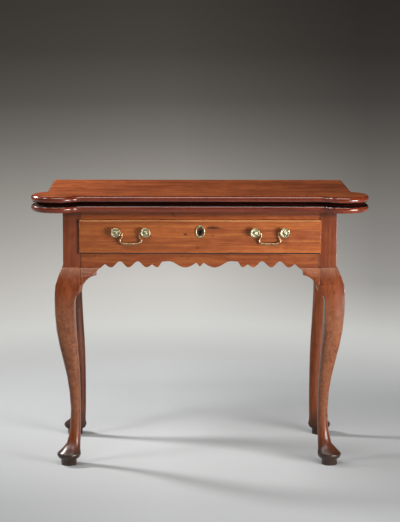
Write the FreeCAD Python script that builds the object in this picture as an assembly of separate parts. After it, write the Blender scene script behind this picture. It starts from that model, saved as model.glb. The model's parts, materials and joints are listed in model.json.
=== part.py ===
"""Folding card table with turret corners, cabriole legs, one drawer and a swing leg.

Millimetres, +X to the viewer's right, front towards -Y, +Z up.
The origin is on the floor, under the middle of the closed table.
"""
import FreeCAD, Part
import math
import os

os.makedirs("parts", exist_ok=True)
Vector = FreeCAD.Vector

# Overall sizes
table_height = 711.0
frame_width = 702.0
frame_depth = 345.0
frame_height = 145.6
stile = 44.0

# Folding top: two equal leaves, one above the other when closed
leaf_thickness = 19.5
leaf_gap = 4.4
leaf_edge_round = 8.5
leaf_edge_steps = 3
leaf_outer_rear_round = 2.0
leaf_inner_rear_round = 3.5
side_overhang = 44.5
front_overhang = 30.0
turret_radius = 64.0
turret_side_reach = 36.0
turret_front_reach = 26.0
turret_cove_radius = 30.0

# Card-table hinges in the rear ends of the leaves
hinge_pivot_from_rear = 6.5
hinge_pivot_from_inside = 5.0
hinge_sink = 4.0
hinge_link_thickness = 2.0
hinge_link_width = 7.6
hinge_plate_length = 44.0
hinge_plate_height = 8.4
hinge_tongue_thickness = 2.6
hinge_pin_radius = 1.8
hinge_side_clearance = 0.3

# Cabriole legs and pad feet
foot_radius = 31.0
foot_rim_height = 27.0
foot_heel_in = 2.5
foot_vamp_height = 32.5
foot_vamp_fall = 3.0
foot_instep_height = 41.0
foot_instep_fall = 13.0
foot_heel_fall = 1.5
pad_radius = 20.2
pad_height = 15.0
foot_swell_radius = 28.0
foot_swell_height = 20.0
ankle_height = 54.0
knee_ledge = 2.5
leg_facets = 4
# Each station of the shaft: share of the way from ankle to knee, how far the outer faces stand
# out from the stile, how far the inner faces draw in, and how many degrees each face is bowed
leg_stations = [
    (0.000, -4.5, 3.8, 88.0),
    (0.040, -9.5, 3.2, 84.0),
    (0.100, -13.8, 2.6, 80.0),
    (0.190, -15.4, 2.3, 76.0),
    (0.290, -12.4, 2.6, 70.0),
    (0.380, -6.4, 3.6, 64.0),
    (0.470, 2.4, 5.6, 58.0),
    (0.560, 11.8, 8.4, 52.0),
    (0.650, 19.0, 10.8, 46.0),
    (0.740, 22.4, 12.6, 36.0),
    (0.815, 22.8, 13.0, 24.0),
    (0.865, 21.8, 7.0, 8.0),
    (0.906, 19.2, 0.0, 0.0),
    (0.953, 12.2, 0.0, 0.0),
    (1.000, knee_ledge, 0.0, 0.0),
]
knee_bulge = max(station[1] for station in leg_stations)

# Knee brackets
bracket_reach = 53.0
bracket_cusp_reach = 41.5
bracket_cusp_drop = 19.0
bracket_toe_reach = 4.5
bracket_toe_drop = 58.0
bracket_drop = 73.0
bracket_lap = 12.0
bracket_thickness = 26.0
bracket_tip_hollow = 4.0
bracket_sweep_hollow = 10.0

# Rails
front_rail_thickness = 30.0
top_rail_height = 24.6
lower_rail_height = 39.0
side_rail_thickness = 22.0
back_rail_thickness = 22.0
tenon_thickness = 9.0
tenon_length = 24.0
tenon_shoulder = 4.0
joint_gap = 0.1

# Scalloped lower edge of the front rail, from the middle to the bracket:
# share of the half length, rise above the frame's lower edge, and whether the turn is pointed or round
skirt_points = [
    (0.000, 2.0, "pointed"),
    (0.036, 12.5, "pointed"),
    (0.152, 0.0, "round"),
    (0.315, 16.5, "round"),
    (0.375, 15.5, "round"),
    (0.430, 0.5, "round"),
    (0.484, 8.5, "pointed"),
    (0.541, 0.5, "round"),
    (0.628, 16.0, "round"),
    (0.722, 0.0, "round"),
    (0.808, 16.0, "round"),
    (0.898, 0.0, "round"),
    (0.958, 9.0, "pointed"),
    (1.000, 0.0, "pointed"),
]
skirt_steps = 6

# Swing leg's gate
knuckle_count = 5
knuckle_gap = 0.4
knuckle_clearance = 0.5
knuckle_pin_radius = 4.0
gate_clearance = 0.3
gate_top_clearance = 1.0
gate_sill_clearance = 0.4
running_clearance = 0.05
tight_clearance = 0.02
small_round_sides = 16

# Drawer
drawer_lip_overlap = 3.5
drawer_lip_thickness = 7.0
drawer_lip_round = 5.5
drawer_lip_clearance = 0.3
drawer_front_depth = 15.0
drawer_side_clearance = 0.8
drawer_sole_clearance = 0.3
drawer_head_clearance = 1.5
drawer_rear_room = 23.3
drawer_side_thickness = 10.0
drawer_side_drop = 4.2
drawer_bottom_thickness = 7.0
drawer_bottom_rise = 6.0
drawer_groove_depth = 5.0
dovetail_count = 3
dovetail_depth = 10.0
dovetail_slope = 0.16

# Drawer runners, guides and kickers
runner_width = 45.0
runner_height = 18.0
guide_height = 24.0
kicker_width = 41.0
kicker_clearance = 2.5
corner_block_size = 20.0
corner_block_clearance = 2.75

# Brass pulls
pull_from_opening_end = 129.0
pull_drop = 32.0
pull_post_spacing = 76.0
rosette_radius = 12.0
rosette_thickness = 5.0
rosette_rim = 1.6
rosette_boss_radius = 3.4
rosette_boss_height = 1.6
post_neck_radius = 4.8
post_neck_length = 11.0
post_shank_radius = 2.5
post_nut_width = 11.0
post_nut_thickness = 4.0
bail_from_face = 6.0
bail_rod_radius = 2.6
bail_rod_sides = 8
bail_pin_past_middle = 3.5
# Half of a bail's bow, from its pin to the middle: share of half the post spacing, and drop below the pins
bail_stations = [
    (0.735, 0.0),
    (0.650, 1.2),
    (0.606, 4.4),
    (0.598, 8.0),
    (0.604, 12.0),
    (0.660, 16.0),
    (0.705, 19.5),
    (0.690, 23.4),
    (0.610, 26.6),
    (0.480, 28.6),
    (0.250, 29.8),
    (0.000, 30.0),
]

# Keyhole, escutcheon and lock
keyhole_drop = 30.5
keyhole_radius = 2.6
keyhole_slot_width = 2.8
keyhole_slot_drop = 9.0
escutcheon_width = 25.0
escutcheon_height = 33.0
escutcheon_rim = 4.8
escutcheon_thickness = 2.4
escutcheon_sides = 28
escutcheon_chamfer = 1.2
lock_width = 60.0
lock_height = 44.0
lock_depth = 12.0
lock_wall = 2.0
lock_flange = 14.0
bolt_width = 18.0
bolt_thickness = 4.0
bolt_throw = 8.0
bolt_clearance = 0.3

# Derived places
half_frame = frame_width / 2
inner_half = half_frame - stile
front_reach = front_overhang + turret_front_reach
front_face = front_reach - (front_reach + frame_depth + knee_bulge) / 2
back_face = front_face + frame_depth
front_edge = front_face - front_overhang
side_edge = half_frame + side_overhang
lower_leaf_top = table_height - leaf_thickness - leaf_gap
lower_leaf_bottom = lower_leaf_top - leaf_thickness
middle_of_gap = lower_leaf_top + leaf_gap / 2
frame_bottom = lower_leaf_bottom - frame_height
opening_bottom = frame_bottom + lower_rail_height
opening_top = lower_leaf_bottom - top_rail_height
shaft_length = frame_bottom - ankle_height
pull_from_middle = inner_half - pull_from_opening_end
far = 1000.0
outwards = Vector(1, 0, 0)
to_front = Vector(0, -1, 0)
to_rear = Vector(0, 1, 0)
upwards = Vector(0, 0, 1)

parts = {}


def box(x0, x1, y0, y1, z0, z1):
    return Part.makeBox(x1 - x0, y1 - y0, z1 - z0, Vector(x0, y0, z0))


def grown_box(x0, x1, y0, y1, z0, z1, gap):
    return box(x0 - gap, x1 + gap, y0 - gap, y1 + gap, z0 - gap, z1 + gap)


def mirror_x(shape):
    return shape.mirror(Vector(0, 0, 0), outwards)


def joined(first, *others):
    return first.fuse(list(others)).removeSplitter()


def flat_face(points):
    return Part.Face(Part.makePolygon(points + [points[0]]))


def faceted_solid(rings):
    """Solid through rings of equally many points, with flat faces between them and at both ends."""
    faces = [flat_face(rings[0]), flat_face(rings[-1])]
    for ring, following in zip(rings, rings[1:]):
        for index in range(len(ring)):
            faces.append(flat_face([ring[index - 1], ring[index], following[index]]))
            faces.append(flat_face([ring[index - 1], following[index], following[index - 1]]))
    return Part.Solid(Part.Shell(faces)).removeSplitter()


def many_sided(centre, across, along, sides):
    """Points round an oval whose half axes are the two given vectors."""
    angles = [index * 2 * math.pi / sides for index in range(sides)]
    return [centre + across * math.cos(angle) + along * math.sin(angle) for angle in angles]


def peg(start, along, radius):
    """Small bar from `start` over the vector `along`, its round drawn with flats."""
    first = outwards if along.x == 0 else upwards
    second = Vector(along).normalize().cross(first)
    ring = many_sided(start, first * radius, second * radius, small_round_sides)
    return flat_face(ring).extrude(along)


def bore(start, along, radius):
    """Hole's room for a peg: its flats clear a round of the given radius."""
    return peg(start, along, radius / math.cos(math.pi / small_round_sides))


# Leaves of the top
turret_x = side_edge + turret_side_reach - turret_radius
turret_y = front_edge - turret_front_reach + turret_radius


def leaf_outline(height, inset):
    """Closed wire of the leaf's plan, drawn in by `inset` all along its shown edges.

    Straight back and sides, and round turrets that coves join to the front edge."""
    side = side_edge - inset
    front = front_edge + inset
    radius = turret_radius - inset
    cove_radius = turret_cove_radius + inset
    cove_y = front - cove_radius
    cove_x = turret_x - math.sqrt((radius + cove_radius) ** 2 - (turret_y - cove_y) ** 2)
    notch_angle = math.acos((side - turret_x) / radius)
    cove_angle = math.atan2(turret_y - cove_y, turret_x - cove_x)
    meeting_angle = cove_angle - math.pi

    def on_turret(angle):
        return Vector(turret_x + radius * math.cos(angle), turret_y + radius * math.sin(angle), height)

    def on_cove(angle):
        x = cove_x + cove_radius * math.cos(angle)
        return Vector(x, cove_y + cove_radius * math.sin(angle), height)

    rear = Vector(side, back_face, height)
    notch = on_turret(notch_angle)
    meeting = on_turret(meeting_angle)
    front_end = Vector(cove_x, front, height)
    turret = Part.Arc(notch, on_turret((notch_angle + meeting_angle) / 2), meeting).toShape()
    cove = Part.Arc(meeting, on_cove((cove_angle + math.pi / 2) / 2), front_end).toShape()
    right = [Part.makeLine(rear, notch), turret, cove]
    left = [mirror_x(edge) for edge in right]
    front_line = Part.makeLine(front_end, Vector(-cove_x, front, height))
    rear_line = Part.makeLine(rear, Vector(-side, back_face, height))
    return Part.Wire(Part.__sortEdges__(right + left + [front_line, rear_line]))


def rear_rounding(height, into, radius):
    """What rounding the leaf's rear edge at `height` takes off; `into` is +1 or -1 along Z."""
    centre_y = back_face - radius
    centre_z = height + into * radius
    block = box(-far, far, centre_y, back_face + radius,
                min(centre_z, height - into * radius), max(centre_z, height - into * radius))
    rod = Part.makeCylinder(radius, 2 * far, Vector(-far, centre_y, centre_z), outwards)
    return block.cut(rod)


hinge_pivot_y = back_face - hinge_pivot_from_rear
lower_pivot_z = lower_leaf_top - hinge_pivot_from_inside
link_outer = side_edge - hinge_sink
link_inner = link_outer - hinge_link_thickness
tongue_outer = link_inner - hinge_side_clearance
tongue_inner = tongue_outer - hinge_tongue_thickness
plate_rear = hinge_pivot_y - hinge_link_width / 2 - 2 * hinge_side_clearance
plate_front = plate_rear - hinge_plate_length + hinge_pivot_from_rear
plate_low = lower_pivot_z - hinge_plate_height / 2
plate_high = lower_pivot_z + hinge_plate_height / 2


def hinge_tongue():
    """Thin rear end of a hinge plate, round about the pivot, on which the link lies."""
    width = tongue_outer - tongue_inner
    end = Part.makeCylinder(hinge_plate_height / 2, width,
                            Vector(tongue_inner, hinge_pivot_y, lower_pivot_z), outwards)
    bar = box(tongue_inner, tongue_outer, plate_rear, hinge_pivot_y, plate_low, plate_high)
    return end.fuse(bar)


def hinge_plate():
    body = box(tongue_inner, link_outer, plate_front, plate_rear, plate_low, plate_high)
    plate = joined(body, hinge_tongue())
    pivot = Vector(0, hinge_pivot_y, lower_pivot_z)
    return plate.cut(bore(pivot, outwards * far, hinge_pin_radius + tight_clearance))


def hinge_pin():
    return peg(Vector(tongue_inner, hinge_pivot_y, lower_pivot_z), outwards * (link_outer - tongue_inner),
               hinge_pin_radius)


def hinge_link():
    """Flat bar between the two pivots, with round ends."""
    upper_pivot_z = 2 * middle_of_gap - lower_pivot_z
    radius = hinge_link_width / 2
    thickness = hinge_link_thickness
    bar = box(link_inner, link_outer, hinge_pivot_y - radius, hinge_pivot_y + radius,
              lower_pivot_z, upper_pivot_z)
    pivots = [Vector(link_inner, hinge_pivot_y, z) for z in (lower_pivot_z, upper_pivot_z)]
    ends = [peg(pivot, outwards * thickness, radius) for pivot in pivots]
    holes = [bore(pivot, outwards * thickness, hinge_pin_radius + running_clearance) for pivot in pivots]
    return joined(bar, *ends).cut(holes)


def hinge_pocket():
    """Recess for one hinge in the end of the lower leaf, open towards the rear inside corner."""
    gap = joint_gap
    room = hinge_link_width / 2 + hinge_side_clearance + gap
    plate_room = box(tongue_inner - gap, far, plate_front - gap, hinge_pivot_y,
                     plate_low - gap, plate_high + gap)
    end_room = Part.makeCylinder(hinge_plate_height / 2 + gap, far,
                                 Vector(tongue_inner - gap, hinge_pivot_y, lower_pivot_z), outwards)
    link_room = box(link_inner - gap, far, hinge_pivot_y - room, far,
                    lower_pivot_z - room, lower_leaf_top + far)
    return plate_room.fuse([end_room, link_room])


def leaf():
    """The lower leaf; the flap is its mirror image above the gap.

    Its shown edge is a half round, worked as flat steps between parallel outlines."""
    middle = lower_leaf_bottom + leaf_thickness / 2
    band = leaf_thickness / 2 - leaf_edge_round
    outlines = []
    for step in range(-leaf_edge_steps, leaf_edge_steps + 1):
        turn = math.pi / 2 * abs(step) / leaf_edge_steps
        rise = band + leaf_edge_round * math.sin(turn)
        inset = leaf_edge_round * (1 - math.cos(turn))
        if step == 0:
            outlines.append(leaf_outline(middle - band, 0))
            outlines.append(leaf_outline(middle + band, 0))
        else:
            outlines.append(leaf_outline(middle + math.copysign(rise, step), inset))
    blank = Part.makeLoft(outlines, True, True)
    blank = blank.cut([rear_rounding(lower_leaf_top, -1, leaf_inner_rear_round),
                       rear_rounding(lower_leaf_bottom, 1, leaf_outer_rear_round)])
    pocket = hinge_pocket()
    return blank.cut([pocket, mirror_x(pocket)])


def to_flap(shape):
    return shape.mirror(Vector(0, 0, middle_of_gap), upwards)


plate = hinge_plate()
pins = [hinge_pin(), mirror_x(hinge_pin())]
parts["lower_leaf"] = leaf()
parts["flap_leaf"] = to_flap(parts["lower_leaf"])
parts["right_hinge_lower_plate"] = plate
parts["left_hinge_lower_plate"] = mirror_x(plate)
parts["right_hinge_flap_plate"] = to_flap(plate)
parts["left_hinge_flap_plate"] = to_flap(mirror_x(plate))
parts["right_hinge_link"] = hinge_link()
parts["left_hinge_link"] = mirror_x(hinge_link())
parts["hinge_lower_pins"] = Part.makeCompound(pins)
parts["hinge_flap_pins"] = Part.makeCompound([to_flap(each) for each in pins])


# Legs, made with the stile's outer corner on the Z axis and both outer faces towards + X and + Y
def bowed_square(height, low, high, bow):
    """Square section whose faces reach from `low` to `high`, each bowed out by so many degrees.

    A bow of 90 makes a round; each face is drawn with a few flats."""
    middle = (low + high) / 2
    half = (high - low) / 2
    corner = half / (1 + math.tan(math.radians(bow) / 4))
    points = []
    for face in range(4):
        turned = math.radians(90 * face)
        for step in range(leg_facets):
            share = 2 * step / leg_facets - 1
            if bow > 0:
                radius = corner / math.sin(math.radians(bow) / 2)
                slope = share * math.radians(bow) / 2
                across = radius * math.sin(slope)
                out = half - radius * (1 - math.cos(slope))
            else:
                across = share * half
                out = half
            points.append(Vector(middle + out * math.cos(turned) - across * math.sin(turned),
                                 middle + out * math.sin(turned) + across * math.cos(turned), height))
    return points


def station_height(share):
    return ankle_height + share * shaft_length


foot_heel = -stile + foot_heel_in
foot_centre = foot_heel + foot_radius


def leg_shaft():
    """Cabriole leg below the stile: turned pad foot, then the shaft up to the knee's top."""
    sections = []

    def foot_section(height, heel, toe):
        sections.append(bowed_square(height, heel, toe, 90))

    toe = foot_heel + 2 * foot_radius
    turned_rows = ((0, pad_radius), (pad_height, pad_radius), (foot_swell_height, foot_swell_radius))
    for height, radius in turned_rows:
        foot_section(height, foot_centre - radius, foot_centre + radius)
    foot_section(foot_rim_height, foot_heel, toe)
    foot_section(foot_vamp_height, foot_heel, toe - foot_vamp_fall)
    foot_section(foot_instep_height, foot_heel + foot_heel_fall, toe - foot_instep_fall)
    for share, bulge, draw, bow in leg_stations:
        sections.append(bowed_square(station_height(share), -stile + draw, bulge, bow))
    return faceted_solid(sections)


def leg_blank():
    block = box(-stile, 0, -stile, 0, frame_bottom, lower_leaf_bottom)
    return joined(leg_shaft(), block)


def placed(shape, x_side, y_side):
    """Moves a leg or bracket to its corner; x_side and y_side are +1 or -1."""
    moved = shape if x_side > 0 else mirror_x(shape)
    if y_side < 0:
        moved = moved.mirror(Vector(0, 0, 0), to_rear)
    moved = moved.copy()
    moved.translate(Vector(x_side * half_frame, back_face if y_side > 0 else front_face, 0))
    return moved


# Knee bracket beside a leg, along - X of the leg's own corner
def hollowed(start, end, hollow):
    """Arc in a plane of constant Y that sags by `hollow` to the left of the way from start to end."""
    way = end - start
    left = Vector(-way.z, 0, way.x).normalize()
    return Part.Arc(start, (start + end) / 2 + left * hollow, end).toShape()


def knee_bracket():
    """Shaped block beside the knee, before it is scribed to the leg: its swell falls away to the rail."""
    lap_x = -stile + bracket_lap
    tip_x = -stile - bracket_reach

    def at(x, drop):
        return Vector(x, -far, frame_bottom - drop)

    tip = at(tip_x, 0)
    cusp = at(-stile - bracket_cusp_reach, bracket_cusp_drop)
    toe = at(-stile - bracket_toe_reach, bracket_toe_drop)
    end = at(lap_x, bracket_drop)
    face_outline = Part.Wire([Part.makeLine(at(lap_x, 0), tip), hollowed(tip, cusp, bracket_tip_hollow),
                              hollowed(cusp, toe, bracket_sweep_hollow), Part.makeLine(toe, end),
                              Part.makeLine(end, at(lap_x, 0))])
    knee_rows = [row for row in leg_stations if station_height(row[0]) > frame_bottom - 2 * bracket_drop]
    knee_front = [Vector(-far, row[1], station_height(row[0])) for row in knee_rows]
    knee_rear = [Vector(-far, -bracket_thickness, point.z) for point in (knee_front[-1], knee_front[0])]
    knee_outline = Part.makePolygon(knee_front + knee_rear + [knee_front[0]])
    plan_outline = Part.makePolygon([Vector(lap_x, knee_bulge, 0), Vector(tip_x, knee_ledge, 0),
                                     Vector(tip_x, -bracket_thickness, 0),
                                     Vector(lap_x, -bracket_thickness, 0), Vector(lap_x, knee_bulge, 0)])
    block = Part.Face(face_outline).extrude(to_rear * 2 * far)
    block = block.common(Part.Face(knee_outline).extrude(outwards * 2 * far))
    return block.common(Part.Face(plan_outline).extrude(upwards * far))


bracket_blank = knee_bracket()
front_bracket = bracket_blank.cut(leg_shaft())
side_bracket = bracket_blank.mirror(Vector(0, 0, 0), Vector(1, -1, 0)).cut(leg_shaft())
for side_name, side in (("left", -1), ("right", 1)):
    parts["front_" + side_name + "_face_bracket"] = placed(front_bracket, side, -1)
    parts["front_" + side_name + "_side_bracket"] = placed(side_bracket, side, -1)
parts["rear_left_side_bracket"] = placed(side_bracket, -1, 1)


# Tenons of the rails, each with the matching mortise
def rail_tenon_x(x_shoulder, side, y_middle, z0, z1, gap=0.0):
    """Tenon along X that starts at a stile's inner face on that side."""
    x0, x1 = sorted((x_shoulder - side * gap, x_shoulder + side * tenon_length))
    half = tenon_thickness / 2
    return grown_box(x0, x1, y_middle - half, y_middle + half, z0, z1, gap)


def rail_tenon_y(y_shoulder, direction, x_middle, z0, z1, gap=0.0):
    """Tenon along Y that starts at a stile's face and goes in that direction."""
    y0, y1 = sorted((y_shoulder - direction * gap, y_shoulder + direction * tenon_length))
    half = tenon_thickness / 2
    return grown_box(x_middle - half, x_middle + half, y0, y1, z0, z1, gap)


front_tenon_y = front_face + front_rail_thickness / 2
front_tenons = [
    (opening_top + tenon_shoulder, lower_leaf_bottom - tenon_shoulder),
    (frame_bottom + max(point[1] for point in skirt_points), opening_bottom - tenon_shoulder),
]
side_rail_x = half_frame - side_rail_thickness / 2
side_rail_inner = half_frame - side_rail_thickness
tall_tenon = (frame_bottom + tenon_shoulder, lower_leaf_bottom - 2 * tenon_shoulder)
front_stile_rear = front_face + stile
rear_stile_front = back_face - stile

# Back of the frame: the outer rails stand in the middle of the rebated swing stile
stile_rebate = (stile - back_rail_thickness) / 2 + gate_clearance
outer_rail_front = rear_stile_front + stile_rebate
outer_rail_rear = outer_rail_front + back_rail_thickness
outer_rail_middle = (outer_rail_front + outer_rail_rear) / 2
inner_rail_rear = outer_rail_front
inner_rail_front = inner_rail_rear - back_rail_thickness
gate_stop = outer_rail_front - gate_clearance
outer_rail_top = lower_leaf_bottom - gate_top_clearance


# Legs with their mortises
def front_leg(side):
    leg = placed(leg_blank(), side, -1)
    cuts = [rail_tenon_x(side * inner_half, side, front_tenon_y, z0, z1, joint_gap)
            for z0, z1 in front_tenons]
    cuts.append(rail_tenon_y(front_stile_rear, -1, side * side_rail_x, *tall_tenon, joint_gap))
    return leg.cut(cuts)


def rear_left_leg():
    leg = placed(leg_blank(), -1, 1)
    return leg.cut([
        rail_tenon_y(rear_stile_front, 1, -side_rail_x, *tall_tenon, joint_gap),
        rail_tenon_x(-inner_half, -1, outer_rail_middle, *tall_tenon, joint_gap),
    ])


def swing_leg():
    """Rear leg whose stile is rebated to close over the corner of the frame."""
    leg = placed(leg_blank(), 1, 1)
    rebate = box(0, far, -far, outer_rail_front, frame_bottom - gate_sill_clearance, far)
    head = box(0, far, -far, far, outer_rail_top, far)
    mortise = rail_tenon_x(inner_half, 1, outer_rail_middle, *tall_tenon, joint_gap)
    return leg.cut([rebate, head, mortise])


parts["front_left_leg"] = front_leg(-1)
parts["front_right_leg"] = front_leg(1)
parts["rear_left_leg"] = rear_left_leg()
parts["swing_leg"] = swing_leg()
sill = box(0, far, -far, far, frame_bottom - gate_sill_clearance, far)
parts["swing_leg_bracket"] = placed(side_bracket, 1, 1).cut(sill)


# Front rails
keyhole_z = opening_top + drawer_lip_overlap - keyhole_drop
drawer_front_rear = front_face + drawer_front_depth
bolt_front = drawer_front_rear + lock_wall + bolt_clearance


def front_rail(z0, z1, tenon):
    rail = box(-inner_half, inner_half, front_face, front_face + front_rail_thickness, z0, z1)
    tenons = [rail_tenon_x(side * inner_half, side, front_tenon_y, *tenon) for side in (-1, 1)]
    return joined(rail, *tenons)


def front_top_rail():
    """Rail above the drawer, with the mortise that the lock's bolt enters."""
    rail = front_rail(opening_top, lower_leaf_bottom, front_tenons[0])
    gap = bolt_clearance * 2
    return rail.cut(box(-bolt_width / 2 - gap, bolt_width / 2 + gap, bolt_front - gap,
                        bolt_front + bolt_thickness + gap, opening_top - gap,
                        opening_top + bolt_throw + gap))


def skirt_flank(share, start, end):
    """How far a flank has come from one turn to the next: level at a round turn, steep at a pointed one."""
    if start == end == "pointed":
        return share
    if start == "pointed":
        return math.sin(math.pi / 2 * share)
    if end == "pointed":
        return 1 - math.cos(math.pi / 2 * share)
    return (1 - math.cos(math.pi * share)) / 2


def skirt_half():
    """Points of the scalloped edge from the middle to the bracket."""
    half_length = inner_half - bracket_reach
    points = []
    for (x0, rise0, turn0), (x1, rise1, turn1) in zip(skirt_points, skirt_points[1:]):
        steps = 1 if turn0 == turn1 == "pointed" else skirt_steps
        for step in range(steps):
            share = step / steps
            rise = rise0 + (rise1 - rise0) * skirt_flank(share, turn0, turn1)
            points.append(Vector((x0 + (x1 - x0) * share) * half_length, front_face, frame_bottom + rise))
    return points + [Vector(half_length, front_face, frame_bottom)]


def front_lower_rail():
    """Rail below the drawer; its lower edge is scalloped and comes to a point in the middle."""
    right = skirt_half() + [Vector(inner_half, front_face, frame_bottom),
                            Vector(inner_half, front_face, opening_bottom)]
    left = [Vector(-point.x, point.y, point.z) for point in reversed(right[1:])]
    rail = flat_face(right + left).extrude(to_rear * front_rail_thickness)
    tenons = [rail_tenon_x(side * inner_half, side, front_tenon_y, *front_tenons[1])
              for side in (-1, 1)]
    return joined(rail, *tenons)


parts["front_top_rail"] = front_top_rail()
parts["front_lower_rail"] = front_lower_rail()


# Side and back rails
def side_rail(side, rear_end):
    x0, x1 = sorted((side * side_rail_inner, side * half_frame))
    rail = box(x0, x1, front_stile_rear, rear_end, frame_bottom, lower_leaf_bottom)
    return joined(rail, rail_tenon_y(front_stile_rear, -1, side * side_rail_x, *tall_tenon))


left_rail = side_rail(-1, rear_stile_front)
parts["left_side_rail"] = joined(left_rail, rail_tenon_y(rear_stile_front, 1, -side_rail_x, *tall_tenon))
parts["right_side_rail"] = side_rail(1, gate_stop)

knuckle_radius = back_rail_thickness / 2
knuckle_height = (outer_rail_top - frame_bottom) / knuckle_count
inner_rail = box(-inner_half, side_rail_inner, inner_rail_front, inner_rail_rear,
                 frame_bottom, lower_leaf_bottom)
gate_relief = box(-knuckle_radius - knuckle_clearance, far, gate_stop, far, 0, far)
parts["inner_back_rail"] = inner_rail.cut(gate_relief)


def knuckle_rail(side, is_finger, pin_gap):
    """Outer back rail on one side of the gate's pin; its end is cut into interleaved knuckles."""
    x0, x1 = sorted((0, side * inner_half))
    blank = box(x0, x1, outer_rail_front, outer_rail_rear, frame_bottom, outer_rail_top)
    barrel = Part.makeCylinder(knuckle_radius, outer_rail_top - frame_bottom,
                               Vector(0, outer_rail_middle, frame_bottom))
    rail = joined(blank, barrel, rail_tenon_x(side * inner_half, side, outer_rail_middle, *tall_tenon))
    room = knuckle_radius + knuckle_clearance
    for index in range(knuckle_count):
        if is_finger(index):
            continue
        z0 = frame_bottom + index * knuckle_height - knuckle_gap / 2
        height = knuckle_height + knuckle_gap
        turning = Part.makeCylinder(room, height, Vector(0, outer_rail_middle, z0))
        x0, x1 = sorted((-side * far, side * room))
        swing = box(x0, x1, outer_rail_middle, far, z0, z0 + height)
        rail = rail.cut([turning, swing])
    pin_axis = Vector(0, outer_rail_middle, 0)
    return rail.cut(bore(pin_axis, upwards * far, knuckle_pin_radius + pin_gap))


parts["fixed_back_rail"] = knuckle_rail(-1, lambda index: index % 2 == 0, tight_clearance)
parts["fly_rail"] = knuckle_rail(1, lambda index: index % 2 == 1, running_clearance)
parts["knuckle_pin"] = peg(Vector(0, outer_rail_middle, frame_bottom),
                           upwards * (outer_rail_top - frame_bottom), knuckle_pin_radius)


# Strips that carry and guide the drawer
def strip(inner_x, front_y, z0, z1):
    """Right-hand strip from the front rail to the back rail, notched round the front stile."""
    beside_stile = box(inner_x, inner_half, front_y, inner_rail_front, z0, z1)
    behind_stile = box(inner_half, side_rail_inner, front_stile_rear, inner_rail_front, z0, z1)
    return joined(beside_stile, behind_stile)


front_rail_rear = front_face + front_rail_thickness
kicker_bottom = opening_top - kicker_clearance
runner = strip(side_rail_inner - runner_width, front_rail_rear,
               opening_bottom - runner_height, opening_bottom)
guide = box(inner_half, side_rail_inner, front_stile_rear, inner_rail_front,
            opening_bottom, opening_bottom + guide_height)
kicker = strip(side_rail_inner - kicker_width, front_rail_rear, kicker_bottom, lower_leaf_bottom)
block_bottom = opening_bottom + guide_height + corner_block_clearance
block_top = kicker_bottom - corner_block_clearance
for side_name, turned, rear_stop in (("left", mirror_x, rear_stile_front),
                                     ("right", lambda shape: shape, inner_rail_front)):
    corner_block = Part.Face(Part.makePolygon([
        Vector(side_rail_inner, rear_stop, block_bottom),
        Vector(side_rail_inner - corner_block_size, rear_stop, block_bottom),
        Vector(side_rail_inner, rear_stop - corner_block_size, block_bottom),
        Vector(side_rail_inner, rear_stop, block_bottom),
    ])).extrude(Vector(0, 0, block_top - block_bottom))
    parts[side_name + "_drawer_runner"] = turned(runner)
    parts[side_name + "_drawer_guide"] = turned(guide)
    parts[side_name + "_drawer_kicker"] = turned(kicker)
    parts[side_name + "_corner_block"] = turned(corner_block)

# Drawer box
drawer_half = inner_half - drawer_side_clearance
drawer_sole = opening_bottom + drawer_sole_clearance
drawer_head = opening_top - drawer_head_clearance
drawer_inner_half = drawer_half - drawer_side_thickness
drawer_side_top = drawer_head - drawer_side_drop
drawer_rear = inner_rail_front - drawer_rear_room
bottom_low = drawer_sole + drawer_bottom_rise
bottom_high = bottom_low + drawer_bottom_thickness
lip_face = front_face - drawer_lip_thickness
pull_z = opening_top + drawer_lip_overlap - pull_drop
post_places = [side * pull_from_middle + end * pull_post_spacing / 2 for side in (-1, 1) for end in (-1, 1)]


def dovetails(y_shoulder, direction, gap=0.0):
    """Tails on the end of the right drawer side, wider at their tips, clear of the bottom's groove."""
    base = bottom_high + tenon_shoulder
    pitch = (drawer_side_top - base) / dovetail_count
    neck = pitch / 2
    tails = []
    for index in range(dovetail_count):
        middle = base + (index + 0.5) * pitch
        flare = dovetail_depth * dovetail_slope
        shoulder_half = neck / 2 + gap
        tip_half = neck / 2 + flare + gap
        tip = y_shoulder + direction * (dovetail_depth + gap)
        x = drawer_inner_half - gap
        outline = Part.makePolygon([
            Vector(x, y_shoulder, middle - shoulder_half), Vector(x, tip, middle - tip_half),
            Vector(x, tip, middle + tip_half), Vector(x, y_shoulder, middle + shoulder_half),
            Vector(x, y_shoulder, middle - shoulder_half)])
        tails.append(Part.Face(outline).extrude(Vector(drawer_side_thickness + 2 * gap, 0, 0)))
    return tails


back_shoulder = drawer_rear - dovetail_depth
front_tails = dovetails(drawer_front_rear, -1)
back_tails = dovetails(back_shoulder, 1)
front_sockets = dovetails(drawer_front_rear, -1, joint_gap)
back_sockets = dovetails(back_shoulder, 1, joint_gap)
groove = grown_box(-drawer_inner_half - drawer_groove_depth, drawer_inner_half + drawer_groove_depth,
                   drawer_front_rear - drawer_groove_depth, far, bottom_low, bottom_high, joint_gap)


def keyhole(y0, y1):
    """Round hole with a slot below it, for the key."""
    round_part = Part.makeCylinder(keyhole_radius, y1 - y0, Vector(0, y0, keyhole_z), to_rear)
    slot = box(-keyhole_slot_width / 2, keyhole_slot_width / 2, y0, y1,
               keyhole_z - keyhole_slot_drop, keyhole_z)
    return round_part.fuse(slot)


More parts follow.
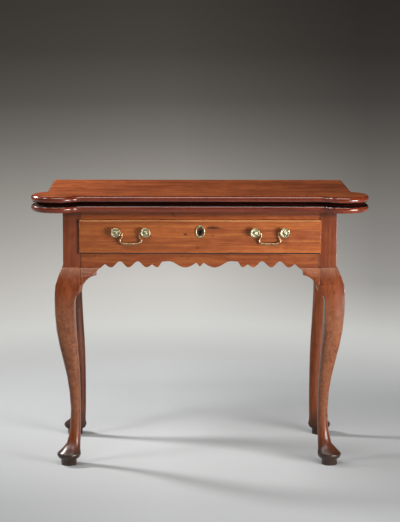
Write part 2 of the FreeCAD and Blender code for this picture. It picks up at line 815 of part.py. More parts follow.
def drawer_front():
    """Front board with a rounded lip all round that closes against the frame."""
    overlap = drawer_lip_overlap
    lip = box(-inner_half - overlap, inner_half + overlap, lip_face, front_face - drawer_lip_clearance,
              opening_bottom - overlap, opening_top + overlap)
    rim = [edge for edge in lip.Edges if edge.BoundBox.YMax < lip_face + joint_gap]
    lip = lip.makeFillet(drawer_lip_round, rim)
    core = box(-drawer_half, drawer_half, lip_face + drawer_lip_round, drawer_front_rear,
               drawer_sole, drawer_head)
    board = joined(lip, core)
    holes = [bore(Vector(x, lip_face - far / 2, pull_z), to_rear * far, post_shank_radius + tight_clearance)
             for x in post_places]
    sockets = front_sockets + [mirror_x(each) for each in front_sockets]
    return board.cut(holes + sockets + [groove, keyhole(lip_face - far, far)])


def drawer_side():
    board = box(drawer_inner_half, drawer_half, drawer_front_rear, back_shoulder,
                drawer_sole, drawer_side_top)
    return joined(board, *front_tails, *back_tails).cut(groove)


def drawer_back():
    board = box(-drawer_half, drawer_half, back_shoulder, drawer_rear,
                bottom_high + joint_gap, drawer_side_top)
    return board.cut(back_sockets + [mirror_x(each) for each in back_sockets])


parts["drawer_front"] = drawer_front()
parts["drawer_right_side"] = drawer_side()
parts["drawer_left_side"] = mirror_x(drawer_side())
parts["drawer_back"] = drawer_back()
bottom_half = drawer_inner_half + drawer_groove_depth
bottom_front = drawer_front_rear - drawer_groove_depth
parts["drawer_bottom"] = box(-bottom_half, bottom_half, bottom_front, drawer_rear, bottom_low, bottom_high)


# Pulls
bail_y = lip_face - bail_from_face


def pull_post(x):
    """Cast post: shank, neck with a cross hole for the bail, and a dished rosette with a boss."""
    def ring(radius, y):
        return many_sided(Vector(x, y, pull_z), outwards * radius, upwards * radius, small_round_sides)

    neck_front = lip_face - post_neck_length
    head_front = neck_front - rosette_thickness
    dish = head_front + rosette_rim
    post = faceted_solid([
        ring(post_shank_radius, drawer_front_rear + post_nut_thickness), ring(post_shank_radius, lip_face),
        ring(post_neck_radius, lip_face), ring(post_neck_radius, neck_front),
        ring(rosette_radius, neck_front - rosette_rim), ring(rosette_radius - rosette_rim, head_front),
        ring(rosette_boss_radius, dish), ring(rosette_boss_radius, dish - rosette_boss_height)])
    beside = Vector(x - 2 * post_neck_radius, bail_y, pull_z)
    return post.cut(bore(beside, outwards * 4 * post_neck_radius, bail_rod_radius + running_clearance))


def pull_nut(x):
    half = post_nut_width / 2
    nut = box(x - half, x + half, drawer_front_rear, drawer_front_rear + post_nut_thickness,
              pull_z - half, pull_z + half)
    return nut.cut(bore(Vector(x, lip_face, pull_z), to_rear * far, post_shank_radius + tight_clearance))


def bail(middle):
    """Swinging handle: a flared bow of faceted rod between pins that turn in the posts."""
    half_spacing = pull_post_spacing / 2
    left_half = [(-half_spacing - bail_pin_past_middle, 0.0)]
    left_half += [(-share * half_spacing, drop) for share, drop in bail_stations]
    right_half = [(-x, drop) for x, drop in reversed(left_half[:-1])]
    places = [Vector(middle + x, bail_y, pull_z - drop) for x, drop in left_half + right_half]
    sections = []
    for index, place in enumerate(places):
        before = places[max(index - 1, 0)]
        after = places[min(index + 1, len(places) - 1)]
        across = to_front.cross((after - before).normalize())
        sections.append(many_sided(place, to_front * bail_rod_radius, across * bail_rod_radius,
                                   bail_rod_sides))
    return faceted_solid(sections)


for side_name, side in (("left", -1), ("right", 1)):
    middle = side * pull_from_middle
    ends = [middle - pull_post_spacing / 2, middle + pull_post_spacing / 2]
    parts[side_name + "_pull_posts"] = Part.makeCompound([pull_post(x) for x in ends])
    parts[side_name + "_bail"] = bail(middle)
parts["pull_nuts"] = Part.makeCompound([pull_nut(x) for x in post_places])


# Escutcheon and lock
def escutcheon():
    """Oval brass ring round the keyhole, bevelled outside."""
    def oval(shrink, y):
        return many_sided(Vector(0, y, keyhole_z), outwards * (escutcheon_width / 2 - shrink),
                          upwards * (escutcheon_height / 2 - shrink), escutcheon_sides)

    front = lip_face - escutcheon_thickness
    plate = faceted_solid([oval(0, lip_face), oval(0, front + escutcheon_chamfer),
                           oval(escutcheon_chamfer, front)])
    return plate.cut(flat_face(oval(escutcheon_rim, lip_face)).extrude(to_front * far))


lock_top = drawer_head
lock_bottom = lock_top - lock_height
lock_rear = drawer_front_rear + lock_depth


def lock_case():
    """Iron box on the back of the drawer front, open above for the bolt and in front for the key."""
    half = lock_width / 2
    case = box(-half, half, drawer_front_rear, lock_rear, lock_bottom, lock_top)
    hollow = box(-half + lock_flange, half - lock_flange, drawer_front_rear + lock_wall,
                 lock_rear - lock_wall, lock_bottom + lock_wall, lock_top - lock_wall)
    slot = grown_box(-bolt_width / 2, bolt_width / 2, bolt_front, bolt_front + bolt_thickness,
                     lock_top - 2 * lock_wall, lock_top + lock_wall, bolt_clearance)
    return case.cut([hollow, slot, keyhole(drawer_front_rear - far, drawer_front_rear + 2 * lock_wall)])


bolt_bottom = lock_bottom + lock_wall + bolt_clearance
parts["escutcheon"] = escutcheon()
parts["lock_case"] = lock_case()
parts["lock_bolt"] = box(-bolt_width / 2, bolt_width / 2, bolt_front, bolt_front + bolt_thickness,
                         bolt_bottom, lock_top - bolt_clearance).cut(
                             keyhole(drawer_front_rear, far))
for name, shape in parts.items():
    shape.exportStep("parts/" + name + ".step")
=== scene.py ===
"""Looks of the folding card table: polished mahogany, oak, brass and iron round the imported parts."""
import json
import math

import bmesh
import bpy
from mathutils import Matrix, Vector

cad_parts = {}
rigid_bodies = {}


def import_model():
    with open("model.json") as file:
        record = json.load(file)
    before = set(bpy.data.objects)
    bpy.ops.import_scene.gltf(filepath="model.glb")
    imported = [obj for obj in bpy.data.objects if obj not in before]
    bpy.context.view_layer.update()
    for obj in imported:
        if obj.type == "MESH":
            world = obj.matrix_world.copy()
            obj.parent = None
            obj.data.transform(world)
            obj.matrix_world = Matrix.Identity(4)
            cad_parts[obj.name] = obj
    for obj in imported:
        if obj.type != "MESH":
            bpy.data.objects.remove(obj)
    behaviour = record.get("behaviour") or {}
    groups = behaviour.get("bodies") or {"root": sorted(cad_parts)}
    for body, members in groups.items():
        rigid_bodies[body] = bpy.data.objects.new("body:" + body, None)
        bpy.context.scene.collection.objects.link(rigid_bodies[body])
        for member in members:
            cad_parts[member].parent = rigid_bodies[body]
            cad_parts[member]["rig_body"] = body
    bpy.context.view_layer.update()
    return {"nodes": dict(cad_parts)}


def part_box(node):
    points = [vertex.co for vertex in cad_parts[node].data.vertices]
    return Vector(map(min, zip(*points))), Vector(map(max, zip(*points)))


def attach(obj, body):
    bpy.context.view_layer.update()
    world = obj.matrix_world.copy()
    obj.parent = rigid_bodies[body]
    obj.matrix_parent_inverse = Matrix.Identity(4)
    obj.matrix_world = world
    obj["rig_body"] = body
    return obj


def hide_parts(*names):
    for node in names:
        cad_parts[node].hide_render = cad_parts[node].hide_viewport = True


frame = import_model()


# Folding top: two boards of solid mahogany, one folded over the other, with a round turret at each
# front corner and the shown edges worked to a half round. They are French polished, and the upper
# face has darkened unevenly under years of wax.
def linear(hex_colour):
    """Shader colour of an sRGB hex value."""
    channels = [int(hex_colour[place:place + 2], 16) / 255 for place in (1, 3, 5)]
    curve = [c / 12.92 if c <= 0.04045 else ((c + 0.055) / 1.055) ** 2.4 for c in channels]
    return (*curve, 1.0)


def add(tree, kind, settings=None, links=None):
    """Adds a node; lower-case keys are its options, the others its sockets by name or number."""
    node = tree.nodes.new(kind)
    for key, value in (settings or {}).items():
        if isinstance(key, str) and key.islower():
            setattr(node, key, value)
        else:
            node.inputs[key].default_value = value
    for key, source in (links or {}).items():
        tree.links.new(source, node.inputs[key])
    return node


def bare_material(name):
    """A new material with its node tree, its shader and the place on the piece that patterns follow."""
    material = bpy.data.materials.new(name)
    material.use_nodes = True
    tree = material.node_tree
    place = add(tree, "ShaderNodeTexCoord").outputs["Object"]
    return material, tree, tree.nodes["Principled BSDF"], place


def layered(tree, under, over, value, start, full, most=1.0):
    """Lays one colour over another: none of it where the value is at `start`, `most` of it at `full`.

    `over` is a hex colour, and `under` is one too or the colour that the nodes give so far."""
    cover = add(tree, "ShaderNodeMapRange", {"From Min": start, "From Max": full, "To Max": most},
                {"Value": value})
    layer = add(tree, "ShaderNodeMix", {"data_type": "RGBA", 7: linear(over)},
                {0: cover.outputs["Result"]})
    if isinstance(under, str):
        layer.inputs[6].default_value = linear(under)
    else:
        tree.links.new(under, layer.inputs[6])
    return layer.outputs[2]


# Dark dirt in pores and joints; the same tone is also laid on as painted shade under the top
dirt_and_shade_tone = "#2a120a"


def mahogany(name, along, deep, middle, pale, shift, polish, tint=None, widen=1.0, shine=0.5):
    """Solid mahogany under French polish: dark pore lines and broad tone bands along the grain.

    The polish gives slightly uneven reflections over a warm red-brown ground. `along` is the grain's
    axis, `shift` moves the figure, `polish` is the least and most roughness of the wood and the weight
    and roughness of the clear coat, `tint` may stain the finished colour further, `widen` draws the
    figure wider across the grain where it is only seen from a low angle, and `shine` is the strength of
    the wood's own reflection."""
    material, tree, shader, place = bare_material(name)

    def grain(across_mm, along_mm, detail, distortion):
        """Noise in streaks of a real width and length."""
        sizes = [along_mm if axis == along else across_mm * widen for axis in "XYZ"]
        mapping = add(tree, "ShaderNodeMapping",
                      {"Scale": [1000 / size for size in sizes], "Location": (shift, shift / 2, shift / 3)},
                      {"Vector": place})
        return add(tree, "ShaderNodeTexNoise", {"Scale": 1.0, "Detail": detail, "Distortion": distortion},
                   {"Vector": mapping.outputs["Vector"]}).outputs["Fac"]

    bands = grain(55, 700, 3.0, 0.6)
    # Real pore lines are under a millimetre wide; the streaks are drawn wider so that they show
    streaks = grain(5, 150, 5.0, 0.4)
    flecks = grain(3.2, 20, 3.0, 0.3)
    pores = grain(1.2, 14, 2.0, 0.0)
    mottle = grain(20, 46, 3.0, 1.2)
    tone = layered(tree, deep, middle, bands, 0.36, 0.64)
    tone = layered(tree, tone, pale, streaks, 0.45, 0.75, 0.55)
    tone = layered(tree, tone, deep, streaks, 0.46, 0.28, 0.40)
    tone = layered(tree, tone, deep, flecks, 0.44, 0.30, 0.45)
    tone = layered(tree, tone, dirt_and_shade_tone, pores, 0.40, 0.28, 0.35)
    cloud = add(tree, "ShaderNodeMapRange",
                {"From Min": 0.3, "From Max": 0.7, "To Min": 0.86, "To Max": 1.1}, {"Value": mottle})
    colour = add(tree, "ShaderNodeVectorMath", {"operation": "SCALE"},
                 {"Vector": tone, "Scale": cloud.outputs["Result"]}).outputs["Vector"]
    if tint:
        colour = tint(tree, place, colour)
    tree.links.new(colour, shader.inputs["Base Color"])
    least_rough, most_rough, coat_weight, coat_rough = polish
    gloss = add(tree, "ShaderNodeMapRange",
                {"From Min": 0.3, "From Max": 0.7, "To Min": least_rough, "To Max": most_rough},
                {"Value": mottle})
    tree.links.new(gloss.outputs["Result"], shader.inputs["Roughness"])
    relief = add(tree, "ShaderNodeBump", {"Strength": 0.06, "Distance": 0.0004}, {"Height": pores})
    tree.links.new(relief.outputs["Normal"], shader.inputs["Normal"])
    shader.inputs["IOR"].default_value = 1.5
    shader.inputs["Specular IOR Level"].default_value = shine
    shader.inputs["Coat Weight"].default_value = coat_weight
    shader.inputs["Coat Roughness"].default_value = coat_rough
    return material


def packed_skin(node):
    """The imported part's loose triangles joined to one closed skin."""
    bm = bmesh.new()
    bm.from_mesh(frame["nodes"][node].data)
    bmesh.ops.remove_doubles(bm, verts=bm.verts, dist=1e-5)
    return bm


def merged_copy(node):
    """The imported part's skin with its flat faces whole."""
    bm = packed_skin(node)
    bmesh.ops.dissolve_limit(bm, angle_limit=math.radians(0.3), verts=bm.verts, edges=bm.edges)
    return bm


def skin_mesh(name, bm, material):
    """A finished skin as a mesh with its material."""
    mesh = bpy.data.meshes.new(name)
    bm.to_mesh(mesh)
    bm.free()
    mesh.materials.append(material)
    return mesh


def placed(name, data):
    """A new object that shows a mesh, curve, lamp or camera in the scene."""
    thing = bpy.data.objects.new(name, data)
    bpy.context.scene.collection.objects.link(thing)
    return thing


def stand_in(node, bm, material, sharp=40.0):
    """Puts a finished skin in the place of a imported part, on the body that carries it."""
    mesh = skin_mesh(node + "_dressed", bm, material)
    mesh.shade_smooth()
    mesh.set_sharp_from_angle(angle=math.radians(sharp))
    piece = placed(node + "_dressed", mesh)
    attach(piece, frame["nodes"][node]["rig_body"])
    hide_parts(node)
    return piece


def kept_flat(piece):
    """Keeps the flat faces flat in the light."""
    piece.modifiers.new("flat faces", "WEIGHTED_NORMAL").keep_sharp = True
    return piece


def eased(piece, radius):
    """Rubs the arrises down to a small round."""
    bevel = piece.modifiers.new("eased arris", "BEVEL")
    bevel.width = radius
    bevel.segments = 2
    bevel.limit_method = "ANGLE"
    bevel.angle_limit = math.radians(50)
    return kept_flat(piece)


# Faces: polish worn dull, which shows the grain and throws little glare
worn_polish = (0.40, 0.54, 0.0, 0.20)
face_wood = mahogany("worn polished mahogany, leaf faces", "X", "#81391a", "#a55327", "#c7723a", 0.0,
                     worn_polish, widen=3.0, shine=0.3)
# Edges: darker wood under full polish, with narrow bright reflections
bright_polish = (0.18, 0.28, 0.34, 0.08)
edge_wood = mahogany("bright polished mahogany, leaf edges", "X", "#511a0b", "#6b2812", "#873b1a", 3.7,
                     bright_polish)
# Roundings beside the gap: painted shade, nearly black, which makes a dark line between the leaves
dull_polish = (0.60, 0.75, 0.0, 0.30)
gap_shade_wood = mahogany("mahogany in painted shade, edges between the leaves", "X", "#060201", "#0a0302", "#100503",
                    3.7, dull_polish, shine=0.1)
# How far a face looks up or down: the least beside the gap, the most on an edge, and a level face
gap_least, edge_most, level = 0.3, 0.95, 0.9995
for leaf, towards_gap in (("flap_leaf", -1), ("lower_leaf", 1)):
    board = stand_in(leaf, merged_copy(leaf), face_wood, sharp=50)
    board.data.materials.append(edge_wood)
    board.data.materials.append(gap_shade_wood)
    for face in board.data.polygons:
        if gap_least < face.normal.z * towards_gap < level:
            face.material_index = 2
        elif abs(face.normal.z) < edge_most:
            face.material_index = 1
    kept_flat(board)


# Legs: each is one piece of mahogany from the stile to the pad foot, sawn to a cabriole curve and
# shaped with spokeshave and rasp, so that soft arrises run down the knee and fade above the ankle.
top_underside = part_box("lower_leaf")[0].z
knee_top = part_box("front_left_face_bracket")[1].z
leg_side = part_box("front_right_leg")[0].x
shin_top = 0.47
shin_full = 0.38
ankle_top = 0.15
foot_top = 0.075
pad_top = 0.030


def overhang_shade(tree, place, colour):
    """Painted shade darkens the wood close under the overhanging top."""
    height = add(tree, "ShaderNodeSeparateXYZ", None, {"Vector": place}).outputs["Z"]
    shade_from = top_underside - 0.0196
    dirt_and_shade_full = top_underside - 0.0076
    return layered(tree, colour, dirt_and_shade_tone, height, shade_from, dirt_and_shade_full, 0.75)


def leg_age_and_painted_light(tree, place, colour):
    """Mottled tan shin, painted highlight atop the knee, dirty foot, and painted shade under the top."""
    colour = overhang_shade(tree, place, colour)
    height = add(tree, "ShaderNodeSeparateXYZ", None, {"Vector": place}).outputs["Z"]
    mottle_mm = 10
    knee_highlight_depth = 0.026
    curl = add(tree, "ShaderNodeTexNoise", {"Scale": 1000 / mottle_mm, "Detail": 4.0, "Distortion": 1.2},
               {"Vector": place})
    tan = layered(tree, "#683c25", "#925e3d", curl.outputs["Fac"], 0.36, 0.64)
    shin = add(tree, "ShaderNodeMapRange",
               {"From Min": shin_top, "From Max": shin_full, "To Max": 0.62,
                "interpolation_type": "SMOOTHSTEP"},
               {"Value": height})
    ankle = add(tree, "ShaderNodeMapRange", {"From Min": foot_top, "From Max": ankle_top},
                {"Value": height})
    shin = add(tree, "ShaderNodeMath", {"operation": "MULTIPLY"},
               {0: shin.outputs["Result"], 1: ankle.outputs["Result"]})
    faded = add(tree, "ShaderNodeMix", {"data_type": "RGBA"},
                {0: shin.outputs[0], 6: colour, 7: tan})
    # Painted highlight: a pale band along the top of the knee
    knee_highlight = add(tree, "ShaderNodeMapRange",
              {"From Min": knee_top - knee_highlight_depth, "From Max": knee_top, "To Max": 0.26}, {"Value": height})
    on_knee = add(tree, "ShaderNodeMath", {"operation": "LESS_THAN", 1: knee_top + 0.0005}, {0: height})
    knee_highlight = add(tree, "ShaderNodeMath", {"operation": "MULTIPLY"},
              {0: knee_highlight.outputs["Result"], 1: on_knee.outputs[0]})
    faded = add(tree, "ShaderNodeMix", {"data_type": "RGBA", 7: linear("#ad7a55")},
                {0: knee_highlight.outputs[0], 6: faded.outputs[2]})
    return layered(tree, faded.outputs[2], "#2a211a", height, foot_top, pad_top, 0.88)


def dirty_foot(tree, place, colour):
    """Floor dirt darkens a rear foot."""
    dirt_top = 0.085
    dirt_and_shade_full = 0.016
    height = add(tree, "ShaderNodeSeparateXYZ", None, {"Vector": place}).outputs["Z"]
    return layered(tree, colour, "#2d261f", height, dirt_top, dirt_and_shade_full, 0.90)


def rear_leg_painted_shade(tree, place, colour):
    """Painted shade darkens the fixed rear leg's upper part under the frame, and dirt darkens its foot."""
    dark_from = 0.28
    dark_full = 0.50
    height = add(tree, "ShaderNodeSeparateXYZ", None, {"Vector": place}).outputs["Z"]
    painted_shade = add(tree, "ShaderNodeMapRange",
                  {"From Min": dark_from, "From Max": dark_full, "To Min": 1.0, "To Max": 0.35},
                  {"Value": height})
    dark = add(tree, "ShaderNodeVectorMath", {"operation": "SCALE"},
               {"Vector": colour, "Scale": painted_shade.outputs["Result"]})
    return dirty_foot(tree, place, dark.outputs["Vector"])


def carved_leg(node):
    """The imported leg's skin in four-sided patches, with the arrises marked that nothing covers."""
    joints_from = 0.40
    front_rails_y = -0.125
    back_rails_y = 0.16
    bm = packed_skin(node)
    bmesh.ops.join_triangles(bm, faces=bm.faces, angle_face_threshold=math.radians(30),
                             angle_shape_threshold=math.radians(60))
    eased_share = bm.edges.layers.float.new("bevel_weight_edge")
    for edge in bm.edges:
        covered = all(vert.co.z > joints_from
                      and (abs(vert.co.x) < leg_side + 0.002 or front_rails_y < vert.co.y < back_rails_y)
                      for vert in edge.verts)
        if len(edge.link_faces) == 2 and not covered and edge.calc_face_angle() > math.radians(58):
            edge[eased_share] = 1.0
    return bm


# Front legs: polish rubbed to a soft sheen
rubbed_polish = (0.26, 0.38, 0.0, 0.22)
leg_wood = mahogany("rubbed polished mahogany, legs", "Z", "#5c2611", "#753617", "#8e4e26", 1.3,
                    rubbed_polish, leg_age_and_painted_light)
# Rear legs: polish gone dull, with hardly a reflection; the fixed one carries painted shade high up
dim_polish = (0.46, 0.58, 0.0, 0.30)
rear_leg_wood = mahogany("dull polished mahogany, fixed rear leg", "Z", "#44200f", "#5c2f1b", "#744229",
                         2.9, dim_polish, rear_leg_painted_shade, shine=0.2)
swing_leg_wood = mahogany("dull polished mahogany, swing leg", "Z", "#5e2c14", "#7e4122", "#985733", 2.9,
                          dim_polish, dirty_foot, shine=0.2)
for leg, leg_finish in (("front_left_leg", leg_wood), ("front_right_leg", leg_wood),
                        ("rear_left_leg", rear_leg_wood), ("swing_leg", swing_leg_wood)):
    shaped = stand_in(leg, carved_leg(leg), leg_finish, sharp=52)
    arris = shaped.modifiers.new("eased arris", "BEVEL")
    arris.width = 0.0030
    arris.segments = 3
    arris.limit_method = "WEIGHT"
    kept_flat(shaped)


# Knee brackets: small blocks glued beside the knees and shaped in one with them, so that the swell
# of the knee runs out into the rails.
def knee_block(node):
    """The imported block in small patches, with the creases of its shown face rasped to one even sweep."""
    patch = 0.004
    sweep_rounds = 2
    bm = merged_copy(node)
    low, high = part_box(node)
    for axis in range(3):
        across = Vector((axis == 0, axis == 1, axis == 2))
        cuts = math.ceil((high[axis] - low[axis]) / patch)
        for k in range(1, cuts):
            bmesh.ops.bisect_plane(bm, geom=bm.verts[:] + bm.edges[:] + bm.faces[:], dist=1e-6,
                                   plane_co=low.lerp(high, k / cuts), plane_no=across)
    if "side" in node or "swing" in node:
        outward = Vector((1 if low.x > 0 else -1, 0, 0))
    else:
        outward = Vector((0, -1, 0))
    shown = [vert for vert in bm.verts if all(face.normal.dot(outward) > 0.5 for face in vert.link_faces)]
    for k in range(sweep_rounds):
        bmesh.ops.smooth_vert(bm, verts=shown, factor=0.5, use_axis_x=outward.x != 0,
                              use_axis_y=outward.y != 0)
    return bm


for bracket in ("front_left_face_bracket", "front_right_face_bracket", "front_left_side_bracket",
                "front_right_side_bracket", "rear_left_side_bracket", "swing_leg_bracket"):
    block = stand_in(bracket, knee_block(bracket), leg_wood, sharp=60)
    kept_flat(block)


# Rails of the frame: mahogany boards tenoned into the legs, the lower front one sawn to a scalloped
# skirt. Inside and at the back, where nothing shows, the rails are plain oak.
def joint_dirt_and_overhang_shade(tree, place, colour):
    """Old wax and dirt make a dark line where a front rail meets the legs; painted shade darkens it under
    the top.
    """
    line_width = 0.005
    colour = overhang_shade(tree, place, colour)
    across = add(tree, "ShaderNodeSeparateXYZ", None, {"Vector": place}).outputs["X"]
    across = add(tree, "ShaderNodeMath", {"operation": "ABSOLUTE"}, {0: across})
    return layered(tree, colour, dirt_and_shade_tone, across.outputs[0], leg_side - line_width, leg_side, 0.8)


rail_wood = mahogany("rubbed polished mahogany, rails", "X", "#6c2f13", "#8b461d", "#a7622e", 5.1,
                     rubbed_polish, joint_dirt_and_overhang_shade)
top_rail_wood = mahogany("rubbed polished mahogany, top rail", "X", "#853914", "#a5511e", "#be6c2f", 8.3,
                         rubbed_polish, joint_dirt_and_overhang_shade)
side_wood = mahogany("rubbed polished mahogany, side rails", "Y", "#5f2a15", "#7d3d20", "#955231", 2.2,
                     rubbed_polish)
board_arris = 0.0006
for rail, rail_finish in (("front_top_rail", top_rail_wood), ("front_lower_rail", rail_wood),
                          ("left_side_rail", side_wood), ("right_side_rail", side_wood)):
    board = stand_in(rail, merged_copy(rail), rail_finish, sharp=45)
    eased(board, board_arris)


def oak(name, along, shift):
    """Plain oak, planed and never polished: dry, greyish brown, with long open pores."""
    material, tree, shader, place = bare_material(name)
    # Real pores are a third of a millimetre wide and are drawn coarser so that they show
    streaks = []
    for across_mm, along_mm in ((9, 300), (1.6, 35)):
        sizes = [along_mm if axis == along else across_mm for axis in "XYZ"]
        mapping = add(tree, "ShaderNodeMapping",
                      {"Scale": [1000 / size for size in sizes], "Location": (shift, shift, shift)},
                      {"Vector": place})
        streaks.append(add(tree, "ShaderNodeTexNoise", {"Scale": 1.0, "Detail": 4.0},
                           {"Vector": mapping.outputs["Vector"]}).outputs["Fac"])
    bands, pores = streaks
    tone = layered(tree, "#6f492d", "#936a43", bands, 0.35, 0.65)
    tone = layered(tree, tone, "#4a3320", pores, 0.42, 0.3, 0.5)
    tree.links.new(tone, shader.inputs["Base Color"])
    relief = add(tree, "ShaderNodeBump", {"Strength": 0.15, "Distance": 0.0005}, {"Height": pores})
    tree.links.new(relief.outputs["Normal"], shader.inputs["Normal"])
    shader.inputs["Roughness"].default_value = 0.72
    return material


oak_across = oak("planed oak, across", "X", 0.0)
oak_deep = oak("planed oak, front to back", "Y", 4.0)
for node in ("inner_back_rail", "fixed_back_rail", "fly_rail"):
    eased(stand_in(node, merged_copy(node), oak_across), board_arris)
for node in ("left_drawer_runner", "right_drawer_runner", "left_drawer_guide", "right_drawer_guide",
             "left_drawer_kicker", "right_drawer_kicker", "left_corner_block", "right_corner_block"):
    eased(stand_in(node, merged_copy(node), oak_deep), board_arris)


# Knuckle pin, lock and bolt: wrought and filed iron. The pin is driven through the back rails'
# knuckles, and the lock is screwed to the back of the drawer front.
def old_iron():
    """Filed iron, aged: a dull brown-black sheen, with rust in small spots."""
    material, tree, shader, place = bare_material("filed iron, aged")
    spot_mm = 5.5556
    rust = add(tree, "ShaderNodeTexNoise", {"Scale": 1000 / spot_mm, "Detail": 5.0},
               {"Vector": place}).outputs["Fac"]
    tone = layered(tree, "#2e2a27", "#584436", rust, 0.0, 1.0)
    tree.links.new(tone, shader.inputs["Base Color"])
    rough = add(tree, "ShaderNodeMapRange", {"To Min": 0.42, "To Max": 0.7}, {"Value": rust})
    tree.links.new(rough.outputs["Result"], shader.inputs["Roughness"])
    shader.inputs["Metallic"].default_value = 0.85
    return material


iron = old_iron()
thin_arris = 0.0004
for node in ("knuckle_pin", "lock_case", "lock_bolt"):
    eased(stand_in(node, merged_copy(node), iron), thin_arris)


# Drawer: a mahogany front with a rounded lip that laps over the frame, dovetailed to thin oak sides.
# The front is the brightest wood of the table, with dark marks where the polish is worn through.
escutcheon_low, escutcheon_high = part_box("escutcheon")
keyhole_z = (escutcheon_low.z + escutcheon_high.z) / 2
keyhole_shade_and_stain = "#080704"
worn_brown = "#3a1205"
# Each mark: across from the middle, height, half width, half height, depth, shade
worn_marks = [
    # The first mark is partly painted shade of the keyhole, partly darkened wood inside the escutcheon
    (0.000, keyhole_z, 0.0090, 0.0130, 1.0, keyhole_shade_and_stain),
    (0.033, keyhole_z + 0.010, 0.017, 0.0038, 0.88, worn_brown),
    (-0.038, keyhole_z - 0.007, 0.0048, 0.0030, 0.85, worn_brown),
    (0.032, keyhole_z - 0.010, 0.0036, 0.0030, 0.50, worn_brown),
    (-0.007, keyhole_z - 0.042, 0.0060, 0.0026, 0.60, worn_brown),
]


def drawer_marks(tree, place, colour):
    """Painted light brightens the front towards its right end, and worn patches and stains lie each at
    their own place.
    """
    half_front = 0.31
    ragged_mm = 6.25
    split = add(tree, "ShaderNodeSeparateXYZ", None, {"Vector": place})
    # Painted light: brighter towards the right end
    painted_light_ramp = add(tree, "ShaderNodeMapRange",
                 {"From Min": -half_front, "From Max": half_front, "To Min": 0.86, "To Max": 1.14},
                 {"Value": split.outputs["X"]})
    colour = add(tree, "ShaderNodeVectorMath", {"operation": "SCALE"},
                 {"Vector": colour, "Scale": painted_light_ramp.outputs["Result"]}).outputs["Vector"]
    edge_noise = add(tree, "ShaderNodeTexNoise", {"Scale": 1000 / ragged_mm, "Detail": 3.0},
                     {"Vector": place})
    for x, z, half_wide, half_tall, depth, shade in worn_marks:
        across = add(tree, "ShaderNodeMath", {"operation": "SUBTRACT", 1: x}, {0: split.outputs["X"]})
        across = add(tree, "ShaderNodeMath", {"operation": "DIVIDE", 1: half_wide}, {0: across.outputs[0]})
        upward = add(tree, "ShaderNodeMath", {"operation": "SUBTRACT", 1: z}, {0: split.outputs["Z"]})
        upward = add(tree, "ShaderNodeMath", {"operation": "DIVIDE", 1: half_tall}, {0: upward.outputs[0]})
        offset = add(tree, "ShaderNodeCombineXYZ", None, {"X": across.outputs[0], "Y": upward.outputs[0]})
        distance = add(tree, "ShaderNodeVectorMath", {"operation": "LENGTH"}, {0: offset.outputs[0]})
        ragged = add(tree, "ShaderNodeMath", {"operation": "ADD"},
                     {0: distance.outputs["Value"], 1: edge_noise.outputs["Fac"]})
        colour = layered(tree, colour, shade, ragged.outputs[0], 1.7, 1.1, depth)
    return colour


drawer_polish = (0.30, 0.42, 0.22, 0.12)
drawer_wood = mahogany("polished mahogany, drawer front", "X", "#7a3811", "#9b511f", "#b97034", 7.9,
                       drawer_polish, drawer_marks)
# Lip: a painted highlight along its upper rounding, painted shade along the lower one
lip_highlight_wood = mahogany("mahogany with painted highlight, drawer lip", "X", "#a86a38", "#c68a50", "#dca468", 7.9,
                    drawer_polish)
under_lip_shade_wood = mahogany("mahogany with painted shade, under the lip", "X", "#2b1208", "#3a1a0c", "#4a2412", 7.9,
                          drawer_polish)
front_board = stand_in("drawer_front", merged_copy("drawer_front"), drawer_wood, sharp=50)
front_board.data.materials.append(lip_highlight_wood)
front_board.data.materials.append(under_lip_shade_wood)
# The lip's rounding looks forwards and, by at least this much, up or down
lip_slope = 0.2
for face in front_board.data.polygons:
    if face.normal.y < -0.1 and abs(face.normal.z) > lip_slope:
        face.material_index = 1 if face.normal.z > 0 else 2
kept_flat(front_board)
for node, drawer_oak in (("drawer_left_side", oak_deep), ("drawer_right_side", oak_deep),
                         ("drawer_back", oak_across), ("drawer_bottom", oak_across)):
    eased(stand_in(node, merged_copy(node), drawer_oak), thin_arris)


# Pulls: cast brass, each a bail that swings between two posts with flower-shaped rosette heads. The
# posts' shanks go through the drawer front and are held by nuts inside.
def aged_brass(name, bright, dull, rough):
    """Aged brass: soft yellow reflections where hands rub it, and a dull greenish brown elsewhere."""
    material, tree, shader, place = bare_material(name)
    # Real spots of patina are finer and are drawn this large so that they show
    patch_mm = 3.8462
    patina = add(tree, "ShaderNodeTexNoise", {"Scale": 1000 / patch_mm, "Detail": 5.0},
                 {"Vector": place}).outputs["Fac"]
    tone = layered(tree, bright, dull, patina, 0.41, 0.60)
    tree.links.new(tone, shader.inputs["Base Color"])
    roughness = add(tree, "ShaderNodeMapRange", {"To Min": rough, "To Max": rough + 0.2}, {"Value": patina})
    tree.links.new(roughness.outputs["Result"], shader.inputs["Roughness"])
    relief = add(tree, "ShaderNodeBump", {"Strength": 0.12, "Distance": 0.0004}, {"Height": patina})
    tree.links.new(relief.outputs["Normal"], shader.inputs["Normal"])
    shader.inputs["Metallic"].default_value = 1.0
    return material


rosette_brass = aged_brass("cast brass, aged", "#dbd1ad", "#7d7653", 0.27)
bail_brass = aged_brass("cast brass, handled", "#cba880", "#8d6e50", 0.26)
face_y = escutcheon_high.y
rosette_radius = 0.012
rosette_spread = 0.0008
petals = 10
notch_depth = 0.0004
crown_height = 0.0003
boss_radius = 0.0044
head_back = 0.0107
dimple_ring = 0.0084
dimple_width = 0.0015
dimple_depth = 0.0012
nut_arris = 0.0005


